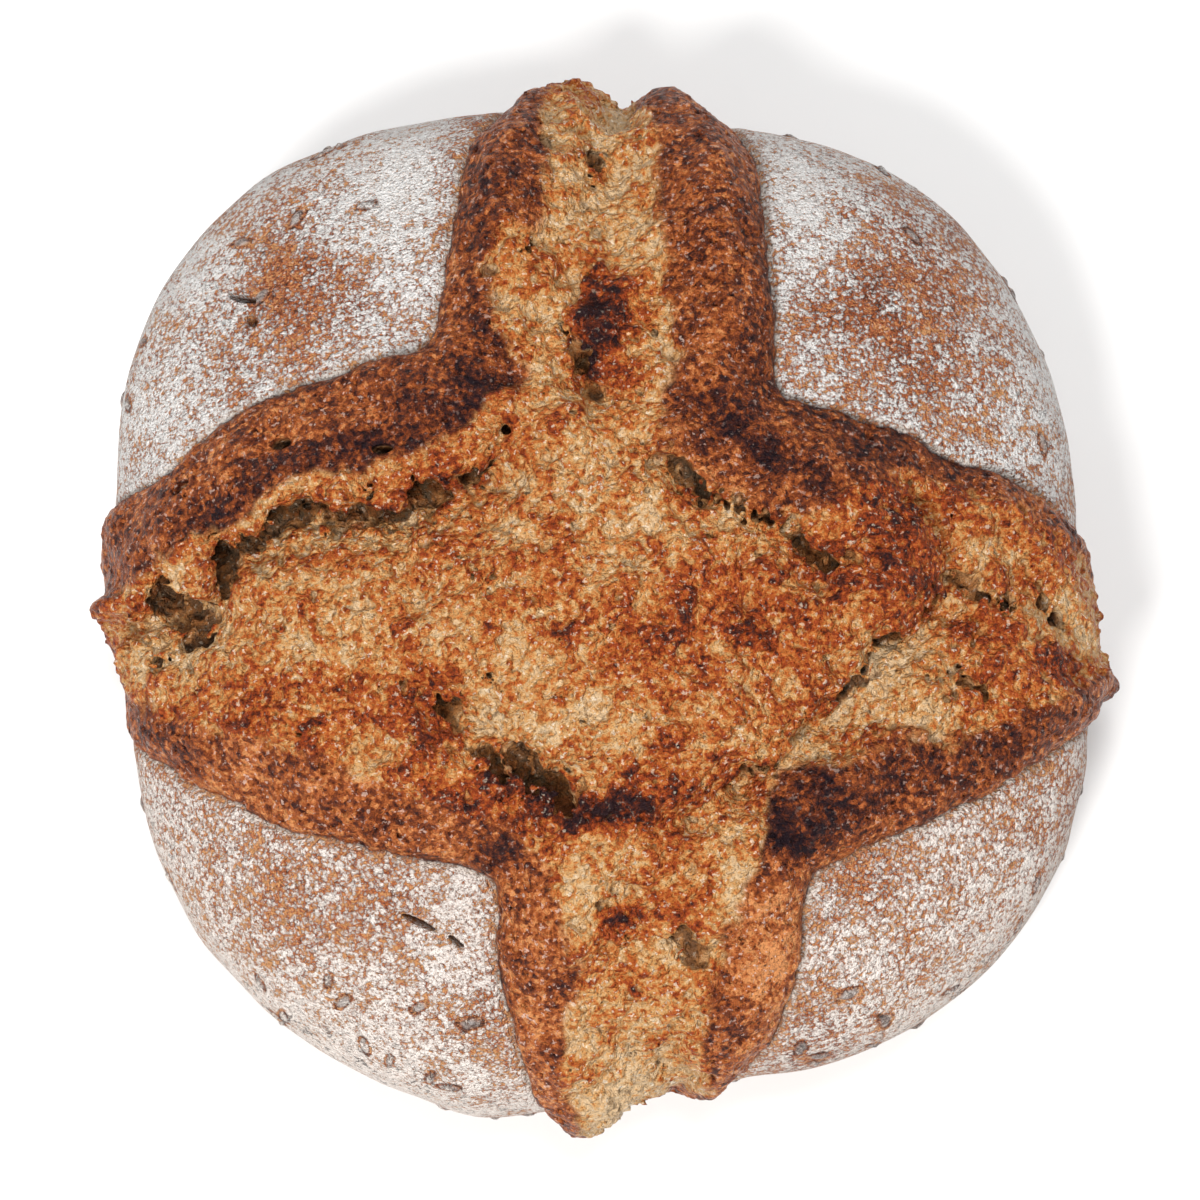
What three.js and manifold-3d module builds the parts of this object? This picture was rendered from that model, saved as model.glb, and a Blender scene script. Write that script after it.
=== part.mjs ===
// A round hearth-baked sourdough loaf, about a kilo, whose cross cut has burst open in the oven.
// It was baked in one piece, so it is one solid: a floured dome on a flat underside, with four crust
// panels pushed apart by the crumb that swelled up between them.
//
// The surface is drawn on an unrolled plan. A point of the plan lies at its real distance over the
// crust from the crown, in its real direction, so the steep sides keep their full length. The plan's
// first axis is the loaf's +X and its second is +Y. Relief is measured out along the dome's normal.
import * as THREE from "three";
import { mergeVertices } from "three/addons/utils/BufferGeometryUtils.js";
import Module from "manifold-3d";

// Driving dimensions of the dome, in millimetres.
const WIDEST_RADIUS = 126;
const WIDEST_HEIGHT = 40; // where the side is furthest out, above the underside
const CROWN_HEIGHT = 93; // top of the dome before the burst is added
const BASE_RADIUS = 100;
const CROWN_ROUNDNESS = 2.35; // 2 is an ellipse, more is flatter on top and steeper at the side

// How the outline leaves the round, seen from above, as shares of the radius. It is a little off
// centre, oval and three-sided, and it mostly fills out between the arms of the cross.
const OUTLINE = [
  { turns: 1, cosine: -0.015, sine: -0.01 },
  { turns: 2, cosine: -0.015, sine: -0.015 },
  { turns: 3, cosine: 0.01, sine: 0.01 },
  { turns: 4, cosine: -0.045, sine: -0.01 },
];

// The burst cross.
const BAND_HEIGHT = 8; // how far the baked edge of the burst stands over the crust panels
const BAND_WIDTH = 16; // plan distance in which it rises
const SEAM_DEPTH = 0.6; // crease where a panel meets the burst
const SEAM_WIDTH = 4;

// Mesh density: meridians, and rings from the crown to the rim of the underside.
const MERIDIANS = 120;
const RINGS = 34;

// Ends of the four arms, low on the sides, in plan millimetres.
const TIPS = {
  west: [-177, -8],
  north: [2, 174],
  east: [173, -12],
  south: [9, -176],
};

// Each crust panel's edge, from the tip of one arm past its inner corner to the tip of the next.
const PANELS = [
  {
    from: "west",
    to: "north",
    edge: [
      [-162, 14], [-140, 22], [-114, 25], [-98, 32], [-79, 39], [-63, 43], [-49, 46.5],
      [-40, 49], [-39, 58], [-37.5, 72], [-37, 87], [-35, 103], [-30, 125], [-22, 148], [-10, 166],
    ],
  },
  {
    from: "north",
    to: "east",
    edge: [
      [18, 164], [31, 144], [38, 116], [39.5, 93], [40.5, 64], [41, 42], [47, 38], [63, 35],
      [78, 31], [89, 27], [107, 23.5], [124, 17], [146, 11], [164, 0],
    ],
  },
  {
    from: "east",
    to: "south",
    edge: [
      [164, -24], [150, -32], [132, -38], [117, -43.5], [100, -51], [87, -57], [67, -64], [56, -69],
      [47.5, -73], [48, -79], [47.5, -88], [46, -100], [43, -112], [39, -128], [33, -148], [23, -166],
    ],
  },
  {
    from: "south",
    to: "west",
    edge: [
      [-3, -168], [-12, -152], [-18, -132], [-21.5, -117], [-24, -104], [-24.5, -93], [-25, -80],
      [-27, -73], [-39, -70], [-52, -68], [-65, -65.5], [-79, -63], [-91, -59], [-103, -55],
      [-120, -48], [-146, -38], [-166, -24],
    ],
  },
];

// Swellings (positive height) and hollows (negative) of the burst crumb: plan centre, half widths,
// turn in degrees and height, all but the turn in millimetres.
const LUMPS = [
  { at: [6, -18], half: [50, 42], turn: 0, height: 4.5 }, // main crumb dome
  { at: [-84, -28], half: [34, 20], turn: 6, height: 2 }, // west crumb slope
  { at: [60, 9], half: [24, 13], turn: -14, height: 4 }, // ear of the east arm
  { at: [72, -8], half: [12, 12], turn: 0, height: 2.5 }, // lobe that ends it
  { at: [97, 2], half: [12, 16], turn: 20, height: -2.5 }, // hollow beyond the lobe
  { at: [-25, 92], half: [8, 42], turn: 0, height: 3.5 }, // north arm, left rim
  { at: [27, 90], half: [9, 44], turn: 0, height: 3.5 }, // north arm, right rim
  { at: [0, 112], half: [9, 46], turn: 0, height: -6 }, // valley between them
  { at: [0, 57], half: [6, 15], turn: -8, height: 3 }, // scorched tongue
  { at: [-8, 42], half: [4, 5], turn: 0, height: -6 }, // hole under the tongue
  { at: [2, -60], half: [14, 6], turn: 0, height: 2.5 }, // scorched top of the south arm
  { at: [10, -118], half: [11, 34], turn: 0, height: -2.5 }, // south arm's valley
  { at: [91, -8], half: [9, 4.5], turn: -20, height: -7 }, // cave in the east arm
  { at: [113, -33], half: [20, 7], turn: 16, height: 3 }, // flap at the end of the east arm
  { at: [-144, 4], half: [26, 26], turn: 0, height: -3.5 }, // the arms thin out at their ends
  { at: [-140, -32], half: [22, 16], turn: 0, height: -6 },
  { at: [146, -2], half: [26, 26], turn: 0, height: -4 },
  { at: [30, 152], half: [14, 26], turn: 0, height: -3 },
  { at: [30, -150], half: [14, 28], turn: 0, height: -6 },
  { at: [10, -168], half: [12, 22], turn: 0, height: -4 },
  { at: [-8, -156], half: [12, 26], turn: 0, height: 3 },
  { at: [-3, 162], half: [8, 22], turn: 0, height: 5 },
];

// Long hollows of the burst: the line of the bottom, half width and depth, in millimetres.
const CHANNELS = [
  { line: [[-108, -8], [-92, -1], [-73, 8], [-58, 8], [-42, 12]], half: 5, depth: 7 }, // west lip
  { line: [[-36, -34], [-24, -43], [-14, -51], [-5, -57]], half: 4, depth: 4 },
  { line: [[22, -62], [42, -45], [62, -29], [84, -12]], half: 5.5, depth: 5 },
  { line: [[17, 19], [32, 10], [47, 4], [57, -3]], half: 3.5, depth: 3 }, // foot of the east ear
];

const LOWEST = -4; // the mesh dips under the underside's plane and is cut off flat there
const smooth = (x) => THREE.MathUtils.smoothstep(x, 0, 1);

// The dome's profile from crown to rim: arc length over the crust, radius and height of each point.
function domeProfile(steps = 600) {
  const points = [new THREE.Vector2(0, CROWN_HEIGHT)];
  for (let i = 1; i <= steps; i++) {
    const angle = ((i / steps) * Math.PI) / 2;
    points.push(
      new THREE.Vector2(
        WIDEST_RADIUS * Math.sin(angle) ** (2 / CROWN_ROUNDNESS),
        WIDEST_HEIGHT +
          (CROWN_HEIGHT - WIDEST_HEIGHT) * Math.max(Math.cos(angle), 0) ** (2 / CROWN_ROUNDNESS),
      ),
    );
  }
  for (let i = 1; i <= steps; i++) {
    const angle = ((i / steps) * Math.PI) / 2;
    points.push(
      new THREE.Vector2(
        BASE_RADIUS + (WIDEST_RADIUS - BASE_RADIUS) * Math.cos(angle),
        WIDEST_HEIGHT * (1 - Math.sin(angle)),
      ),
    );
  }
  const arc = [0];
  for (let i = 1; i < points.length; i++) arc.push(arc[i - 1] + points[i].distanceTo(points[i - 1]));
  return { points, arc };
}

// The profile's point and outward normal at an arc length.
function profileAt(profile, length) {
  const { points, arc } = profile;
  let i = arc.findIndex((a) => a >= length);
  if (i < 1) i = length <= 0 ? 1 : arc.length - 1;
  const share = (length - arc[i - 1]) / (arc[i] - arc[i - 1]);
  const point = points[i - 1].clone().lerp(points[i], share);
  const along = points[i].clone().sub(points[i - 1]).normalize();
  return { point, normal: new THREE.Vector2(-along.y, along.x) };
}

// A smooth run of plan points through the given ones.
function smoothLine(points, steps) {
  return new THREE.SplineCurve(points.map(([x, y]) => new THREE.Vector2(x, y))).getPoints(steps);
}

function distanceToLine(line, x, y) {
  let best = Infinity;
  for (let i = 1; i < line.length; i++) {
    const a = line[i - 1];
    const [dx, dy] = [line[i].x - a.x, line[i].y - a.y];
    const share = THREE.MathUtils.clamp(((x - a.x) * dx + (y - a.y) * dy) / (dx * dx + dy * dy), 0, 1);
    best = Math.min(best, Math.hypot(x - a.x - share * dx, y - a.y - share * dy));
  }
  return best;
}

function isInside(outline, x, y) {
  let inside = false;
  for (let i = 0, j = outline.length - 1; i < outline.length; j = i++) {
    const [a, b] = [outline[i], outline[j]];
    if (a.y > y !== b.y > y && x < ((b.x - a.x) * (y - a.y)) / (b.y - a.y) + a.x) inside = !inside;
  }
  return inside;
}

// A panel's edge line, and its outline closed round the outside of the plan.
function makePanel({ from, to, edge }) {
  const far = 2; // times the tip's distance from the crown
  const line = smoothLine([TIPS[from], ...edge, TIPS[to]], 6 * edge.length);
  const [start, end] = [TIPS[from], TIPS[to]].map(([x, y]) => new THREE.Vector2(x, y).multiplyScalar(far));
  const outline = [start, ...line, end, start.clone().add(end)];
  return { line, outline };
}

const panels = PANELS.map(makePanel);
const channels = CHANNELS.map((c) => ({ ...c, line: smoothLine(c.line, 24) }));

// Plan distance into the burst: positive between the panels, negative on a panel.
function burstDepth(x, y) {
  const distance = Math.min(...panels.map((p) => distanceToLine(p.line, x, y)));
  return panels.some((p) => isInside(p.outline, x, y)) ? -distance : distance;
}

function lumpHeight({ at, half, turn, height }, x, y) {
  const angle = THREE.MathUtils.degToRad(turn);
  const [dx, dy] = [x - at[0], y - at[1]];
  const along = (dx * Math.cos(angle) + dy * Math.sin(angle)) / half[0];
  const across = (dy * Math.cos(angle) - dx * Math.sin(angle)) / half[1];
  return height * Math.exp(-(along * along + across * across));
}

// Height of the crust over the plain dome at a plan point.
function relief(x, y) {
  const depth = burstDepth(x, y);
  if (depth < 0) return -SEAM_DEPTH * Math.exp(depth / SEAM_WIDTH);
  const rise = Math.min(depth / BAND_WIDTH, 1);
  const shoulder = Math.sin((rise * Math.PI) / 2);
  let shape = BAND_HEIGHT;
  for (const lump of LUMPS) shape += lumpHeight(lump, x, y);
  for (const { line, half, depth: deep } of channels) {
    shape -= deep * Math.exp(-((distanceToLine(line, x, y) / half) ** 2));
  }
  const seam = SEAM_DEPTH * Math.exp(-depth / SEAM_WIDTH);
  return shape * shoulder - seam;
}

// How far out the loaf reaches in a direction, at a level, as a share of the profile's radius.
function reachAt(azimuth, level) {
  let bulge = 0;
  for (const { turns, cosine, sine } of OUTLINE) {
    bulge += cosine * Math.cos(turns * azimuth) + sine * Math.sin(turns * azimuth);
  }
  // The underside is nearly round, and the sides fill out above it.
  const filled = 0.4 + 0.6 * smooth(level / WIDEST_HEIGHT);
  return 1 + filled * bulge;
}

// The loaf as a lathe turned about its axis, then given its outline and the relief.
function loafGeometry() {
  const profile = domeProfile();
  const rim = profile.arc[profile.arc.length - 1];
  const lengths = [];
  for (let i = 0; i <= RINGS; i++) lengths.push((rim * i) / RINGS);
  const outline = lengths.map((length) => profileAt(profile, length).point);
  outline[0].x = 0;
  outline.push(new THREE.Vector2(BASE_RADIUS * 0.97, LOWEST), new THREE.Vector2(0, LOWEST));
  // Lathes turn about Y and face out when the profile climbs, so it is reversed and stood up on Z.
  const geometry = new THREE.LatheGeometry([...outline].reverse(), MERIDIANS);
  geometry.rotateX(Math.PI / 2);
  const place = geometry.getAttribute("position");
  const perMeridian = outline.length;
  for (let v = 0; v < place.count; v++) {
    const ring = perMeridian - 1 - (v % perMeridian);
    const meridian = Math.floor(v / perMeridian) % MERIDIANS;
    const azimuth = (2 * Math.PI * meridian) / MERIDIANS;
    const reach = reachAt(azimuth, outline[ring].y);
    let [radius, height] = [outline[ring].x * reach, outline[ring].y];
    if (ring <= RINGS) {
      const { normal } = profileAt(profile, lengths[ring]);
      // At the crown every meridian shares one point, so its normal points straight up.
      const [outward, upward] = ring === 0 ? [0, 1] : [normal.x, normal.y];
      const [x, y] = [Math.cos(azimuth), Math.sin(azimuth)].map((c) => c * lengths[ring]);
      const fade = smooth((rim - lengths[ring]) / 12); // the underside's rim stays plain
      const lift = relief(x, y) * fade;
      radius += lift * outward;
      height += lift * upward;
    }
    place.setXYZ(v, radius * Math.cos(azimuth), radius * Math.sin(azimuth), height);
  }
  return geometry;
}

// Only shared positions are left, as the solid library needs.
function toSolid(wasm, geometry) {
  const bare = geometry.clone();
  bare.deleteAttribute("normal");
  bare.deleteAttribute("uv");
  const merged = mergeVertices(bare, 1e-3);
  return new wasm.Manifold(
    new wasm.Mesh({
      numProp: 3,
      vertProperties: new Float32Array(merged.getAttribute("position").array),
      triVerts: new Uint32Array(merged.index.array),
    }),
  );
}

function toGeometry(solid) {
  const mesh = solid.getMesh();
  const geometry = new THREE.BufferGeometry();
  geometry.setAttribute("position", new THREE.BufferAttribute(new Float32Array(mesh.vertProperties), 3));
  geometry.setIndex(new THREE.BufferAttribute(new Uint32Array(mesh.triVerts), 1));
  geometry.computeVertexNormals();
  return geometry;
}

// Cuts the loaf flat where it stood on the oven floor.
function cutUnderside(wasm, geometry) {
  const block = new THREE.BoxGeometry(4 * WIDEST_RADIUS, 4 * WIDEST_RADIUS, WIDEST_RADIUS);
  block.translate(WIDEST_RADIUS / 3, WIDEST_RADIUS / 5, -WIDEST_RADIUS / 2);
  return toSolid(wasm, geometry).subtract(toSolid(wasm, block));
}

const wasm = await Module();
wasm.setup();

const geometry = toGeometry(cutUnderside(wasm, loafGeometry()));
geometry.computeBoundingBox();
const centre = geometry.boundingBox.getCenter(new THREE.Vector3());

const crust = new THREE.MeshStandardMaterial({ color: 0xa8622a, roughness: 0.85, metalness: 0 });
const loaf = new THREE.Mesh(geometry, crust);
loaf.name = "loaf";
// The origin is under the middle of the loaf's box, on the surface that it rests on.
loaf.position.set(-centre.x, -centre.y, 0);

const part = new THREE.Group();
part.add(loaf);
export default part;
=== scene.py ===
"""A round hearth-baked sourdough loaf whose cross cut has burst open, seen from nearly straight above.

The loaf is one piece. Its surface is drawn on an unrolled plan: a point of the plan lies at its real
distance over the crust from the crown, in its real direction. Height is measured along the normal of
a plain dome. From that a block of small cells is filled with the distance to the surface, caves and
pores are carved out of it, seeds are pressed in, and its surface becomes the mesh. Each vertex then
carries numbers that say how it baked, which the material's nodes read. Lengths are in millimetres
until the mesh is made.
"""

import math

import bpy
import numpy as np
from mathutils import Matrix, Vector


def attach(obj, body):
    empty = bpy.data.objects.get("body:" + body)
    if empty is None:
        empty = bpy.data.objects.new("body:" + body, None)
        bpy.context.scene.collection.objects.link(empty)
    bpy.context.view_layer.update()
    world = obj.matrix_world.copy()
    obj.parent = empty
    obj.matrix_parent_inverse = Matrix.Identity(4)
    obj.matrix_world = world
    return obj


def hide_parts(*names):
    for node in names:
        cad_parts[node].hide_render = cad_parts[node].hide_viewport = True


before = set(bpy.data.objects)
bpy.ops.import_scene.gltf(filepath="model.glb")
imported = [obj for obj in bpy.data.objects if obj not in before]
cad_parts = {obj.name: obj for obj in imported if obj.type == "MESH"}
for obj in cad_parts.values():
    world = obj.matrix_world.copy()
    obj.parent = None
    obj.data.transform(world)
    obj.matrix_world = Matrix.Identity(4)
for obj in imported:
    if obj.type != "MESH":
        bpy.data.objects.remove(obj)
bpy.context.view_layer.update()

# The dome, as in the CAD part.
WIDEST_RADIUS = 126.0
WIDEST_HEIGHT = 40.0
CROWN_HEIGHT = 93.0
BASE_RADIUS = 100.0
CROWN_ROUNDNESS = 2.35

# How the outline leaves the round, as shares of the radius: turns, cosine and sine.
OUTLINE = [(1, -0.015, -0.010), (2, -0.015, -0.015), (3, 0.010, 0.010), (4, -0.045, -0.010)]

AXIS = (0.27, 1.78)  # where the dome's axis stands from the origin, which is under the box's middle

STEP = 0.62  # size of the block's cells
CORNERS = [(i, j, k) for i in (0, 1) for j in (0, 1) for k in (0, 1)]  # of a cell
PLAN_HALF = 206.0  # the plan reaches this far each way
COARSE, FINE = 1.0, 0.5  # spacing of the plan's distance maps and of the finished maps
SHELL = (-15.0, 24.0)  # heights over the dome between which the surface lies
SEED = 20  # of every random draw
PEAK_CELLS = (1, 4)  # reach of the small and the large peaks, in pairs of cells
CREASE = 1.2  # depth of the crease at the panels' edges
ROUGHNESS = ((5.0, 0.5), (2.4, 0.5), (1.3, 0.6))  # sizes and amounts of the torn parts' roughness
HOLE_SUNK, HOLE_DEPTH = 2.6, 7.0  # a hole's centre under the surface, and its half depth
PORES_TRIED, PORE_SHARE, PINHOLE_SHARE = 60000, 0.07, 0.24
SEEDS_TRIED, SEED_SHARE = 900, 0.46
SEED_LONG, SEED_WIDE, SEED_TALL = (1.6, 2.4), 0.48, 0.9  # half length, its share, and half height

# The ends of the cross's arms, and the crust panels' edges between them.
TIPS = {"west": (-177, -8), "north": (2, 174), "east": (173, -12), "south": (9, -176)}
EDGES = {
    "west": [
        (-162, 14), (-140, 22), (-114, 25), (-99, 32.5), (-79, 38.5), (-63, 42), (-49, 45.5),
        (-40, 48), (-38.5, 57), (-37.3, 71), (-37, 86), (-35.5, 103), (-31, 126), (-22, 148),
        (-10, 166),
    ],
    "north": [
        (18, 164), (31, 144), (38, 116), (39.3, 92), (40, 63), (40, 42), (46, 37.5), (62, 35),
        (78, 31), (89, 27), (108, 24), (125, 17.5), (146, 11), (164, 0),
    ],
    "east": [
        (164, -24), (150, -32), (132, -38), (116, -43.6), (99, -51), (85.5, -56.5), (66, -63),
        (55, -68), (47.5, -72.5), (47, -78), (46.6, -88), (46, -99), (44, -109), (40.5, -120),
        (38, -134), (33, -150), (23, -166),
    ],
    "south": [
        (-3, -168), (-12, -152), (-18, -136), (-21.6, -119), (-24.3, -105), (-25, -93),
        (-25.4, -80.5), (-27.5, -73), (-39, -69.5), (-51.5, -66.5), (-64, -64), (-77.5, -61.5),
        (-90, -58), (-102, -54.5), (-119, -48), (-146, -38), (-166, -24),
    ],
}  # fmt: skip

# Where the smooth baked skin of the burst ends and its torn crumb starts.
CRUMB = [
    (-160, -12), (-128, -6), (-111, 2), (-97, 7), (-83, 14), (-73, 19), (-62, 19.5), (-52, 20),
    (-42, 20.5), (-33, 24), (-25, 31), (-19, 38), (-18, 43), (-23.5, 51), (-26, 59.5), (-26, 75),
    (-16, 83), (-14.5, 96), (-16, 112), (-17, 128), (-12, 150), (0, 168), (9, 150), (8, 129),
    (13, 112), (13, 96), (15.5, 76), (16, 64), (18, 46), (13, 40), (12, 32), (15, 23), (20, 18),
    (28, 14), (38, 10), (48, 8), (57, 14), (66, 20), (80, 20), (95, 17), (110, 13), (125, 8),
    (145, 2), (165, -10), (150, -20), (132, -24), (120, -27), (109, -31), (95, -36.5), (81, -42),
    (68.5, -41.5), (56.5, -43.5), (43, -48), (36, -55), (36, -66), (31, -75.5), (28, -88),
    (26, -100), (24, -115), (26, -130), (21, -150), (9, -168), (-3, -152), (-7, -136), (-10, -122),
    (-8, -109), (-7, -97), (-9, -83), (-14, -71), (-20, -64), (-30, -58), (-45, -53), (-62, -48),
    (-80, -44), (-98, -40), (-115, -35), (-140, -24),
]  # fmt: skip

BAND_HEIGHT, BAND_WIDTH = 8.0, 13.0  # how far the burst stands over the panels, and its shoulder

# The stage, in metres. Lights: name, place, size, power and colour.
FLOOR_HALF, FLOOR_LEVEL = 3.0, -0.0002
LIT_POINT = (0, 0, 0.05)
LIGHTS = [
    ("key", (-0.40, -0.75, 1.30), 0.45, 22, (1.0, 0.985, 0.96)),
    ("fill", (0.9, 0.9, 1.3), 1.2, 7, (1, 1, 1)),
    ("top", (0.1, 0.2, 1.9), 0.5, 16, (1, 1, 1)),
]
WORLD_LIGHT = 0.38
CAMERA_ELEVATION, CAMERA_DISTANCE = 80, 1.15
CAMERA_SHIFT = (-6 / 1200, -10 / 1200)

# Where the shoulder is slower: plan centre, half widths, turn in degrees and what its width gains.
SLOW_SHOULDERS = [
    ((-84, 20), (42, 16), 10, 8),
    ((76, 22), (40, 14), -12, 7),
    ((-70, -50), (46, 14), -6, 8),
    ((-30, 132), (16, 22), 0, 9),
    ((34, 128), (16, 22), 0, 9),
    ((34, -144), (14, 22), 0, 8),
]

# Swellings and hollows of the burst: plan centre, half widths, turn in degrees and height.
LUMPS = [
    ((6, -18), (50, 42), 0, 4.5),  # main crumb dome
    ((-84, -28), (34, 20), 6, 2),  # west crumb slope
    ((60, 9), (24, 13), -14, 4),  # ear of the east arm
    ((72, -8), (12, 12), 0, 2.5),  # lobe that ends it
    ((97, 2), (12, 16), 20, -2.5),  # hollow beyond the lobe
    ((66, 36), (30, 5), -12, -1.5),
    ((-25, 92), (8, 42), 0, 4.5),  # north arm, left rim
    ((27, 90), (9, 44), 0, 4.5),  # north arm, right rim
    ((0, 112), (9, 46), 0, -7),  # valley between them
    ((-2, 58), (7, 14), -8, 2),  # scorched tongue
    ((2, -60), (14, 6), 0, 2.5),  # scorched top of the south arm
    ((10, -118), (11, 34), 0, -2.5),  # south arm's valley
    ((113, -33), (20, 7), 16, 3),  # flap at the end of the east arm
    ((-144, 4), (26, 26), 0, -3.5),  # the arms thin out towards their ends
    ((-140, -32), (22, 16), 0, -6),
    ((146, -2), (26, 26), 0, -4),
    ((30, 152), (14, 26), 0, -3),
    ((38, -150), (10, 28), 0, -5),
    ((-8, -156), (9, 26), 0, 2),  # torn points where the arms' upper skin ends, and notches beside them
    ((8, -156), (7, 22), 0, -8),
    ((20, -148), (7, 24), 0, -8.5),
    ((29, -143), (5, 18), 0, 4),
    ((141, -28), (6, 2.8), 14, 3),
    ((142, -14), (12, 6), 0, -3),
    ((-134, -8), (10, 4.4), 0, 7),
    ((-134, -14), (8, 4), 0, -7),
    ((-110, -14), (12, 9), -40, -4),  # recess behind the west point
    ((-6, 142), (5.5, 22), 0, 3.8),
    ((5, 140), (4, 24), 0, -4),
    ((15, 140), (6, 18), 0, 2),
    ((-16, 142), (6, 20), 0, -1),
]

# Swellings of the whole loaf under burst and panels: the same.
BULGES = [
    ((-36, -158), (26, 28), 0, 4.5),
    ((46, -150), (20, 24), 0, -1.5),
]

# Long hollows of the burst: the line of the bottom, half width and depth.
CHANNELS = [
    ([(-38, -33), (-24, -43), (-14, -51), (-5, -57)], 4.0, 5.5),
    ([(22, -62), (31, -54), (42, -45), (62, -29), (84, -12)], 5.0, 5.5),
    ([(-20, 40), (-8, 44), (8, 40), (20, 34)], 4.0, 2.0),  # where the north arm meets the middle
]

# Torn edges that stand over what lies to one side: line, side (1 left, -1 right), drop and reach.
LIPS = [
    (
        [(-130, -15), (-120, -8), (-114, -2), (-107, -8), (-101, -8), (-98, 1), (-89, 7),
         (-75, 12), (-63, 11), (-52, 11), (-40, 15.5), (-30, 16.5), (-23, 23), (-19, 29)],
        -1, 9.0, 10,
    ),
    (
        [(13, 27), (17, 20), (23, 15.5), (32, 12), (41, 8.5), (46, 7), (51, 1.5), (57, 0), (62, -4)],
        -1, 4.5, 8,
    ),
    ([(73, 14), (79, 7), (83, -1), (84, -9), (79, -15), (72, -18), (62, -19)], 1, 4.5, 7),
    (
        [(38, -54), (43, -48), (56, -43.5), (68.5, -41), (81, -42), (95, -36.5), (109, -31),
         (125, -26), (142, -22)],
        1, 2.5, 7,
    ),
    ([(26, -56), (32, -50), (42, -42), (52, -34), (62, -26), (70, -20)], -1, 3.0, 7),  # crumb dome's
    ([(-3, 76), (-8, 66), (-9, 54), (-5, 46), (-1, 41), (4, 46)], -1, 3.0, 7),  # tongue's edge
    ([(-12, -56), (0, -61), (14, -62), (21, -58)], -1, 2.2, 7),  # foot of the scorched flake
    ([(-30, 47), (-24, 52), (-26, 60), (-26, 75), (-17, 83), (-14, 96), (-16, 112)], -1, 1.6, 6),
    ([(12, 44), (18, 46), (16, 64), (15, 76), (13, 96), (12, 112)], 1, 1.4, 6),
]  # fmt: skip

# Caves: a line of plan points with heights, half width, and half height.
CAVES = [
    (
        [(-100, -4, 1), (-92, 6, 0), (-78, 12.5, 0), (-63, 12, 0), (-50, 12, 1), (-41, 15.5, 2)],
        4.8,
        3.8,
    ),
    ([(-30, 17, 3), (-24, 23, 3), (-19, 28, 4)], 2.4, 2.2),
    ([(-118, -6, -2), (-113, -11, -2), (-107, -15, -2), (-106, -21, -1.5)], 5.2, 4.6),
    ([(87, -4, 4), (94, -7, 3.5), (101, -10.5, 3)], 3.0, 4.6),
    ([(86, -29, 5), (88, -33, 5)], 2.6, 3.4),
    ([(113, -9, 2), (117, -14, 2)], 2.6, 3.4),
    (
        [(16, 20, 6), (24, 14.5, 6), (32, 10.5, 6), (44, 7, 6), (50, 1, 6), (57, -4, 5), (62, -6, 4.5)],
        2.3,
        3.0,
    ),
    ([(-8, 51, 6), (-6, 45, 4), (-3, 41, 5)], 2.8, 4.5),
    ([(-36, -34, 5), (-31, -38, 4)], 3.0, 2.6),
    ([(-21, -47, 5), (-16, -51, 5), (-13, -54, 5), (-10, -57, 5)], 4.2, 4.0),
    ([(-27, -44, 6), (-22, -51, 6.5)], 2.8, 2.6),
    ([(29, -53, 1.5), (37, -46, 1)], 2.8, 2.8),
    ([(45, -40, 0.5), (51, -36, 0.5)], 2.4, 2.8),
    ([(54, -32, 1), (61, -27, 1), (69, -19.5, 1.5), (76, -14, 2), (83, -9.5, 2)], 2.6, 3.2),
    ([(18, -91, 5), (21, -95, 5)], 3.2, 2.6),
    ([(-6, 107, 1), (-2, 109, 1), (-5, 102, 0)], 2.4, 3.0),
    ([(-116, -20, 4), (-114, -30, 4)], 1.2, 3.0),  # slit in the skin of the west end
    ([(-20, 77, 7), (-19, 74, 6)], 1.6, 2.4),
]

# Single holes in the skin and slits in the crust: plan centre, half widths and turn in degrees.
HOLES = [
    ((-75.5, 26.7), (2.8, 1.8), 0),
    ((-104.6, 19.4), (3.0, 1.6), 30),
    ((-50.2, 23.4), (2.8, 1.3), -4),
    ((-85, 64.5), (5.0, 1.1), -18),
    ((-82.5, 58.4), (2.2, 1.4), -50),
    ((-43, -83.5), (5.0, 0.9), -28),
    ((-35, -89), (2.6, 0.8), -40),
    ((98, -111), (4.5, 1.1), 30),
]

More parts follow.
